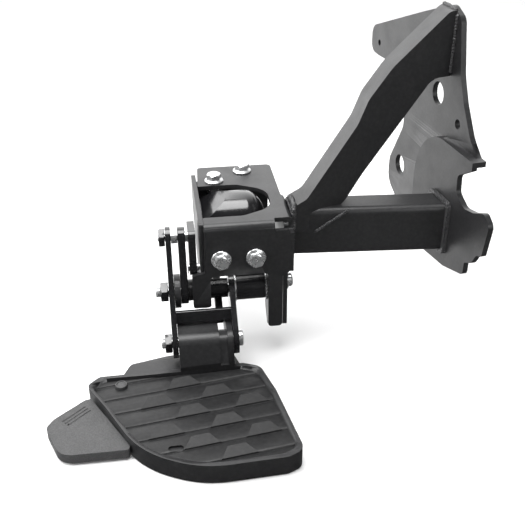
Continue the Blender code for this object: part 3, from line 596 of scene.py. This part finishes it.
def flange_bolt(name, node, plane, centre, seat, out):
    """Flange bolt: a sloped washer face, a chamfered hex with a shallow hollow, and its shank.

    seat is the depth of the face it sits on, and out is 1 or -1, the way its head stands.
    """
    def up(height):
        return seat + out * height

    rim = [(seat, 0), (seat, 10.7), (up(0.9), 10.9), (up(1.5), 10.5), (up(2.6), 8.6),
           (up(3.2), 7.2), (up(3.2), 0)]
    bolt = spun(name, plane, centre, rim, 64)
    head = plate("hex", plane, [hexagon(centre, 15.0, 12)], sorted((up(1.2), up(9.0))))
    crown = [(seat, 0), (seat, 12), (up(7.6), 9.2), (up(8.6), 7.7), (up(9.0), 7.0),
             (up(9.0), 5.0), (up(8.85), 4.4), (up(8.85), 0)]
    merge(head, [spun("crown", plane, centre, crown, 64)], "INTERSECT")
    shank = [(up(1), 0), (up(1), 4.9), (up(-18), 4.9), (up(-18), 0)]
    merge(bolt, [apply(bevel(head, 0.35, 2, 25)), spun("shank", plane, centre, shank, 32)])
    show(bolt, "bracket", ZINC, "zinc", node, smooth=25)


def hex_nut(name, node, centre, span, across_flats, bore, body):
    """Black nut, chamfered on both faces."""
    flats = hexagon(centre, across_flats, 30)
    nut = plate(name, "YZ", [flats, circle(centre, bore)], span)
    middle, half = (span[0] + span[1]) / 2, (span[1] - span[0]) / 2
    face, waist = across_flats * 0.5 * 0.98, across_flats * 0.5 * 1.17
    crown = [(middle - half, 0), (middle - half, face), (middle - half * 0.62, waist),
             (middle + half * 0.62, waist), (middle + half, face), (middle + half, 0)]
    merge(nut, [spun("crown", "YZ", centre, crown, 64)], "INTERSECT")
    bevel(nut, 0.3, 2, 25)
    show(nut, body, GLOSS, "zinc", node)


def threaded(name, node, centre, profile, thread, body):
    """A turned zinc pin. thread is its ridged end: where from and to, outer radius and pitch."""
    start, end, outer, pitch = thread
    count = int(abs(end - start) / pitch)
    step = (end - start) / count
    ridges = []
    for i in range(count):
        ridges += [(start + step * i, outer), (start + step * (i + 0.5), outer - 0.55 * pitch)]
    pin = spun(name, "YZ", centre, [*profile, *ridges, (end, outer - 0.8), (end, 0)], 40)
    show(pin, body, ZINC, "zinc", node)


# ---------------------------------------------------------------- swing arm
ARM_LEFT = (-41.0, -35.0)
ARM_RIGHT = (25.0, 31.0)


def swing_arm():
    """Two painted plates, the left one reaching up to the lever stud, and the web between them."""
    bores = [circle(ARM_PIVOT, PIVOT_BORE), circle(PAD_PIVOT, PIVOT_BORE)]
    lower = strap(ARM_PIVOT, PAD_PIVOT, 17, 17)
    arm = plate("painted_arm", "YZ", [lower, *bores], ARM_RIGHT)
    left = plate("left", "YZ", [lower, *bores], ARM_LEFT)
    lever = [strap(ARM_PIVOT, LEVER_STUD, 16, 12), circle(ARM_PIVOT, PIVOT_BORE),
             circle(LEVER_STUD, STUD_BORE)]
    upper = plate("upper", "YZ", lever, (ARM_LEFT[0] + 0.1, ARM_LEFT[1] - 0.1))
    web = plate("web", "YZ", [rounded([(-4.5, -98, 1.5), (-9.5, -98, 1.5), (-13.5, -110.5, 1),
                                       (-8.5, -112, 1)])], (-36, 26))
    merge(arm, [web, left, upper])
    bevel_with_highlight(arm, 1.0, 3, 40)
    show(arm, "swing_arm", GLOSS, "gloss", "swing_arm")


# ---------------------------------------------------------------- pad
PAD_TOP = -149.0
PAD_FLOOR = -154.0
PAD_BOTTOM = -171.0
NECK_X = (-34.4, 9.4)
FORK_X = (18.6, 24.4)           # the neck's outer side, past the level link
BRIDGE_X = (8.4, 19.6)
BORE_X = (-45.0, 35.0)          # clear through the neck and the fork
PAD_MIDDLE = Vector((-25, -118))
PAD_HALF = Vector((100, 74))
PAD_CORNERS = [(-134, -58, 8), (-121, -45, 8), (34, -42, 6), (52, -50, 14), (63, -92, 30),
               (77, -182, 12), (60, -190, 14), (-22, -194, 100), (-80, -164, 100),
               (-114, -94, 120)]
PLUG = (-98, -60)
KEYHOLE = (-45, -161)
TREAD_INSET = 6.5
TREAD_SPAN = (PAD_FLOOR + GAP, PAD_TOP + 4)
TREAD_TURN = math.radians(8.3)
TREAD_PITCH = (62.0, 23.0)      # along a row and from row to row
TREAD_ORIGIN = Vector((-23.7, -45.6))
ROW_SWELL = [(0.0, 0.5), (0.8, 1.3), (2.4, 1.8), (6.0, 1.9), (11.0, 1.6), (16.0, 1.1),
             (20.5, 0.5), (22.4, 0.1)]      # (distance past the groove, lift)


def pad_outline(inset=0.0):
    """The pad's outline, drawn in by about inset."""
    shrink_x, shrink_y = 1 - inset / PAD_HALF.x, 1 - inset / PAD_HALF.y
    corners = [(PAD_MIDDLE.x + (u - PAD_MIDDLE.x) * shrink_x,
                PAD_MIDDLE.y + (v - PAD_MIDDLE.y) * shrink_y, r) for u, v, r in PAD_CORNERS]
    return rounded(corners, 14)


def step_pad():
    """Tray with a rolled rim, a thin wing behind it, and the forked neck that takes both pivots."""
    pad = apply(bevel(plate("painted_pad", "XY", [pad_outline()], (PAD_BOTTOM, PAD_TOP)), 2.9, 6))
    recess = plate("recess", "XY", [pad_outline(5.0)], (PAD_FLOOR, PAD_TOP + 10))
    pocket = plate("pocket", "XY", [pad_outline(11.0)], (PAD_BOTTOM - 10, PAD_BOTTOM + 9))
    wing = rounded([(-104, -60, 4), (-88, -24, 8), (-46, -14, 6), (24, -14, 6), (36, -60, 4)], 12)
    wing = plate("wing", "XY", [wing], (PAD_BOTTOM + 2, PAD_FLOOR + 2))
    back = (LINK_BOTTOM[0] + 11, LINK_BOTTOM[1])
    side = rounded([
        (PAD_PIVOT[0] - 14, PAD_PIVOT[1] + 15, 13), (PAD_PIVOT[0] + 8, PAD_PIVOT[1] + 15, 12),
        (back[0] - 5, back[1] + 11, 9), (back[0], back[1] - 11, 8), (-2, -158, 10),
        (-12, -167, 4), (-70, -167, 2), (-70, -152, 3), (-50, -149, 12)], 12)
    neck = plate("neck", "YZ", [side], NECK_X)
    fork = plate("fork", "YZ", [side], FORK_X)
    bridge = rounded([
        (PAD_PIVOT[0] - 13, PAD_PIVOT[1] + 12, 12), (-24, -117, 4), (-6, -127, 10), (-3, -158, 6),
        (-13, -166, 4), (-69, -166, 2), (-69, -153, 3), (-49, -150, 12)], 12)
    bridge = plate("bridge", "YZ", [bridge], BRIDGE_X)
    bores = [plate("bore", "YZ", [circle(PAD_PIVOT, PIVOT_BORE)], BORE_X),
             plate("link_bore", "YZ", [circle(LINK_BOTTOM, 4.05)], BORE_X)]
    merge(pad, [apply(bevel(wing, 2.4, 5)), apply(bevel(neck, 1.0, 3, 50)),
                apply(bevel(fork, 1.0, 3, 50)), bridge])
    merge(pad, [recess, pocket, *bores], "DIFFERENCE")
    show(pad, "step_pad", POWDER, "powder", "step_pad", smooth=50)


def tread_rows():
    """The insert's rolling surface: one soft swell to a row, with a narrow groove before each."""
    profile = [(-170, -2)]
    for row in range(9, -3, -1):
        groove = -TREAD_PITCH[1] * row
        profile += [(groove + across, lift) for across, lift in ROW_SWELL]
    profile += [(profile[-1][0] + 4, -2)]
    rows = plate("tread_rows", "YZ", [[(u, v - 3.5) for u, v in profile]], (-260, 260))
    place = Matrix.Translation((*TREAD_ORIGIN, PAD_TOP - 1.1))
    rows.data.transform(place @ Matrix.Rotation(TREAD_TURN, 4, "Z"))
    return rows


def tread_block(corner, along, across):
    """A raised facet: a trapezoid in plan that climbs towards the bracket, steep at both ends."""
    work = bmesh.new()
    low = [corner, corner + along * 38, corner + along * 28.5 + across * 14,
           corner + along * 9.5 + across * 14]
    high = [corner + along * 1.2 + across * 0.4, corner + along * 36.8 + across * 0.4,
            corner + along * 27.9 + across * 13.4, corner + along * 10.1 + across * 13.4]
    base, near, far = PAD_TOP - 4.0, PAD_TOP - 2.6, PAD_TOP - 0.2
    under = [work.verts.new((*point, base)) for point in low]
    over = [work.verts.new((*point, height)) for point, height in zip(high, (near, near, far, far))]
    work.faces.new(under[::-1])
    work.faces.new(over)
    for i in range(4):
        work.faces.new((under[i - 1], under[i], over[i], over[i - 1]))
    return close_mesh(work, "tread_block", Matrix.Identity(4))


def takes_block(middle):
    """Whether a facet with this middle is on the insert, clear of its keyhole and its plug."""
    left = -104 + (-60 - middle.y) * 0.42
    if not (left < middle.x < 52 and -172 < middle.y < -58):
        return False
    return (middle - Vector(KEYHOLE)).length >= 20 and (middle - Vector(PLUG)).length >= 22


def tread_insert():
    """Rubber insert: swelling rows, staggered facets, a plug hole and a keyhole slot."""
    along = Vector((math.cos(TREAD_TURN), math.sin(TREAD_TURN)))
    across = Vector((-along.y, along.x))
    reach = Vector((4, 0))
    keyhole = strap(Vector(KEYHOLE) - reach, Vector(KEYHOLE) + reach, 3.5, 3.5)
    loops = [pad_outline(TREAD_INSET), keyhole, circle(PLUG, 6.8)]
    insert = plate("moulded_tread", "XY", loops, TREAD_SPAN)
    merge(insert, [tread_rows()], "INTERSECT")
    blocks = []
    for row in range(1, 7):
        for column in range(-2, 3):
            shift = TREAD_PITCH[0] * (column - (row % 2) / 2)
            offset = along * shift - across * TREAD_PITCH[1] * row
            if takes_block(TREAD_ORIGIN + offset + along * 19 + across * 8):
                blocks.append(tread_block(TREAD_ORIGIN + offset, along, across))
    trim = plate("trim", "XY", [pad_outline(TREAD_INSET)], TREAD_SPAN)
    merge(insert, blocks)
    merge(insert, [trim], "INTERSECT")
    bevel_with_highlight(insert, 0.35, 2, 26)
    show(insert, "step_pad", RUBBER, "rubber", "tread_insert", smooth=14)


def tread_plug():
    """Push-in plug with a domed cap, a rim and a small dimple."""
    profile = [(PAD_FLOOR + GAP, 0), (PAD_FLOOR + GAP, 6.4), (PAD_TOP - 1.0, 6.4),
               (PAD_TOP - 0.3, 6.0), (PAD_TOP - 0.1, 5.0), (PAD_TOP - 0.9, 4.5),
               (PAD_TOP - 0.5, 3.6), (PAD_TOP - 0.2, 1.8), (PAD_TOP - 0.4, 0.8),
               (PAD_TOP - 0.5, 0)]
    plug = spun("moulded_plug", "XY", PLUG, profile)
    show(plug, "step_pad", PLASTIC, "plastic", "tread_plug")


def kick_tab():
    """Foot lever: grained plastic with a soft edge and three shallow grooves at its outer end."""
    outline = rounded([(-136, -70, 4), (-166, -96, 9), (-173, -108, 8), (-156, -150, 18),
                       (-90, -150, 4), (-89.5, -144, 0), (-130, -69, 0)], 12)
    tab = plate("moulded_tab", "XY", [outline], (PAD_BOTTOM + 2, PAD_BOTTOM + 13))
    apply(bevel(tab, 2.4, 6))
    grooves = []
    run = (Vector((-136, -70)) - Vector((-166, -98))).normalized()
    side = Vector((run.y, -run.x))
    for index in range(3):
        start = Vector((-163, -100)) + side * (5.0 + 4.2 * index) + run * 4.5
        loop = strap(start, start + run * 28, 1.1, 1.1, 6)
        grooves.append(plate("groove", "XY", [loop], (PAD_BOTTOM + 12.1, PAD_BOTTOM + 16)))
    clearance = plate("cut", "XY", [pad_outline(-0.4)], (PAD_BOTTOM - 5, PAD_TOP + 5))
    merge(tab, [clearance, *grooves], "DIFFERENCE")
    show(tab, "step_pad", PLASTIC, "plastic", "kick_tab", smooth=50)


# ---------------------------------------------------------------- make the pieces
frame_plate()
support_tubes()
bracket_cover()
left_cheek()
spring_drum()
for index, centre in enumerate(TOP_BOLTS, 1):
    flange_bolt(f"zinc_top_bolt_{index}", f"cover_top_bolt_{index}", "XY", centre, GAP, 1)
for index, centre in enumerate(FRONT_BOLTS, 1):
    flange_bolt(f"zinc_front_bolt_{index}", f"cover_front_bolt_{index}", "XZ", centre, -GAP, -1)
hex_nut("black_main_nut", "main_pivot_nut", ARM_PIVOT, (-50, -41.6), 21, 6.05, "bracket")
hex_nut("black_stud_nut", "lever_stud_nut", LEVER_STUD, (-48, -41.4), 19, 4.05, "swing_arm")
hex_nut("black_pad_nut", "pad_pivot_nut", PAD_PIVOT, (-49, -41.4), 20, 6.05, "swing_arm")
threaded("zinc_main_bolt", "main_pivot_bolt", ARM_PIVOT,
         [(80.3, 0), (80.3, 8), (78.8, 9.5), (73.3, 9.5), (73.3, 6), (-41.5, 6)],
         (-41.5, -55.4, 6.0, 1.25), "bracket")
threaded("zinc_pad_bolt", "pad_pivot_bolt", PAD_PIVOT,
         [(36.3, 0), (36.3, 8), (35.3, 9), (31.3, 9), (31.3, 6), (-41.3, 6)],
         (-41.3, -52.6, 6.0, 1.25), "swing_arm")
threaded("zinc_stud", "lever_stud", LEVER_STUD,
         [(-17, 0), (-17, 6), (-19.4, 6), (-19.4, 4), (-28, 4), (-28, 7), (-34.7, 7), (-34.7, 4),
          (-41.3, 4)], (-41.3, -49.2, 4.0, 1.0), "swing_arm")
swing_arm()
step_pad()
tread_insert()
tread_plug()
kick_tab()

# ---------------------------------------------------------------- weld beads
def on_plate(along, height):
    """A point on the frame plate's near face, in the bracket's frame."""
    return tuple(PLATE_FRAME @ Vector((-0.2, along, height)))


def tube_front(x):
    """The Y of the support tube's front wall at x."""
    return TUBE_FRONT[0] + (x - FLANGE) * (TUBE_FRONT[1] - TUBE_FRONT[0]) / (REACH - FLANGE)


bead("weld_flange_lower", [(98, 25, -57), (98, 25.5, -8), (98, 31, -1), (98, 60, -1)], 2.6)
bead("weld_flange_brace", [(98, 20, -22), (98, 19, 3), (99, 24, 6.5), (99, 46, 6.5)], 2.8)
bead("weld_brace_end",
     [on_plate(47.0, 130), on_plate(47.0, 190), on_plate(52, 196), on_plate(80, 196)], 2.4)
bead("weld_mitre", [(122, tube_front(122) - 0.3, -29), (160, tube_front(160), -2)], 1.6)

# The CAD nodes that stay take their finish here, with a fine broken edge whose strip takes the
# painted edge highlight where the finish has one. They are in metres.
NODE_EDGE = 0.0004
LOOKS = {
    "housing_back_plate": POWDER, "right_cheek_plate": POWDER, "right_leg_web": POWDER,
    "tube_end_weld": WELD, "anchor_plate": GLOSS, "stop_screw": ZINC, "side_bolt": ZINC,
    "pivot_sleeve_left": GLOSS, "pivot_sleeve_right": GLOSS, "pivot_washer_inner": ZINC,
    "pivot_washer_outer": ZINC, "link_pin_upper": ZINC, "link_spacer": ZINC,
    "arm_lever_plate": GLOSS, "arm_boss": POWDER, "arm_spacer": POWDER, "arm_washer": ZINC,
    "level_link": POWDER, "link_pin_lower": ZINC,
    "weld_nut_front_3": ZINC, "weld_nut_front_4": ZINC, "weld_nut_top_1": ZINC,
    "weld_nut_top_2": ZINC,
}
for name, look in LOOKS.items():
    node = bpy.data.objects[name]
    paint(node.data, look)
    even(bevel_with_highlight(node, NODE_EDGE, 2, 40))

# ---------------------------------------------------------------- camera, floor and light
VIEW_AZIMUTH = math.radians(-8)
VIEW_ELEVATION = math.radians(31)
VIEW_DISTANCE = 832.0
VIEW_TARGET = Vector((57.4, -28.6, -33.9))
LENS_LENGTH = 54.34
SENSOR_WIDTH = 36
FLOOR_HALF = 8                  # metres
FLOOR_DROP = 1.0                # below the pad
FLOOR_PALE = (0.93, 0.93, 0.93, 1)
GLOW_TOWARD = Vector((-0.35, 0.85, 0.36))


def photo_view():
    """The camera at the photograph's view."""
    level = math.cos(VIEW_ELEVATION)
    back = Vector((math.sin(VIEW_AZIMUTH) * level, -math.cos(VIEW_AZIMUTH) * level,
                   math.sin(VIEW_ELEVATION)))
    lens = bpy.data.cameras.new("photo_view")
    lens.lens = LENS_LENGTH
    lens.sensor_width = SENSOR_WIDTH
    camera = keep("photo_view", lens)
    camera.location = at(*(VIEW_TARGET + back * VIEW_DISTANCE))
    camera.rotation_mode = "QUATERNION"
    camera.rotation_quaternion = (-(TURN.to_3x3() @ back)).to_track_quat("-Z", "Y")
    bpy.context.scene.camera = camera


def pale_floor():
    """A plain floor just under the pad, which glossy surfaces don't mirror."""
    mesh = bpy.data.meshes.new("floor")
    work = bmesh.new()
    bmesh.ops.create_grid(work, x_segments=1, y_segments=1, size=FLOOR_HALF)
    work.to_mesh(mesh)
    work.free()
    floor = keep("floor", mesh)
    floor.location.z = at(0, 0, PAD_BOTTOM - FLOOR_DROP).z
    pale = bpy.data.materials.new("pale_floor")
    pale.use_nodes = True
    shader = pale.node_tree.nodes["Principled BSDF"]
    shader.inputs["Base Color"].default_value = FLOOR_PALE
    shader.inputs["Roughness"].default_value = 0.9
    mesh.materials.append(pale)
    floor.visible_glossy = False


def studio():
    """A world that is bright behind the object and to its left, and dark elsewhere."""
    sky = bpy.data.worlds.new("studio")
    bpy.context.scene.world = sky
    sky.use_nodes = True
    nodes, links = sky.node_tree.nodes, sky.node_tree.links
    glow = nodes["Background"]
    glow.inputs["Strength"].default_value = 1.0
    heading = nodes.new("ShaderNodeTexCoord")
    toward = nodes.new("ShaderNodeVectorMath")
    toward.operation = "DOT_PRODUCT"
    toward.inputs[1].default_value = (TURN @ GLOW_TOWARD).normalized()
    fade = nodes.new("ShaderNodeMapRange")
    fade.interpolation_type = "SMOOTHSTEP"
    for name, value in (("From Min", 0.1), ("From Max", 0.95), ("To Min", 0.06), ("To Max", 2.3)):
        fade.inputs[name].default_value = value
    links.new(heading.outputs["Generated"], toward.inputs[0])
    links.new(toward.outputs["Value"], fade.inputs["Value"])
    links.new(fade.outputs["Result"], glow.inputs["Color"])
    bpy.context.scene.view_settings.view_transform = "Standard"


def softbox(name, place, size, power):
    """A round soft light in the bracket's frame, aimed at the middle of the part."""
    lamp = bpy.data.lights.new(name, "AREA")
    lamp.shape = "DISK"
    lamp.size = size
    lamp.energy = power
    light = keep(name, lamp)
    light.location = at(*place)
    aim = at(*VIEW_TARGET) - light.location
    light.rotation_mode = "QUATERNION"
    light.rotation_quaternion = aim.to_track_quat("-Z", "Y")


photo_view()
pale_floor()
studio()
softbox("overhead", (-100, -50, 1500), 1.2, 30)
softbox("left_side", (-1300, -300, 700), 0.9, 16)
softbox("front_right", (900, -1300, 700), 0.9, 8)
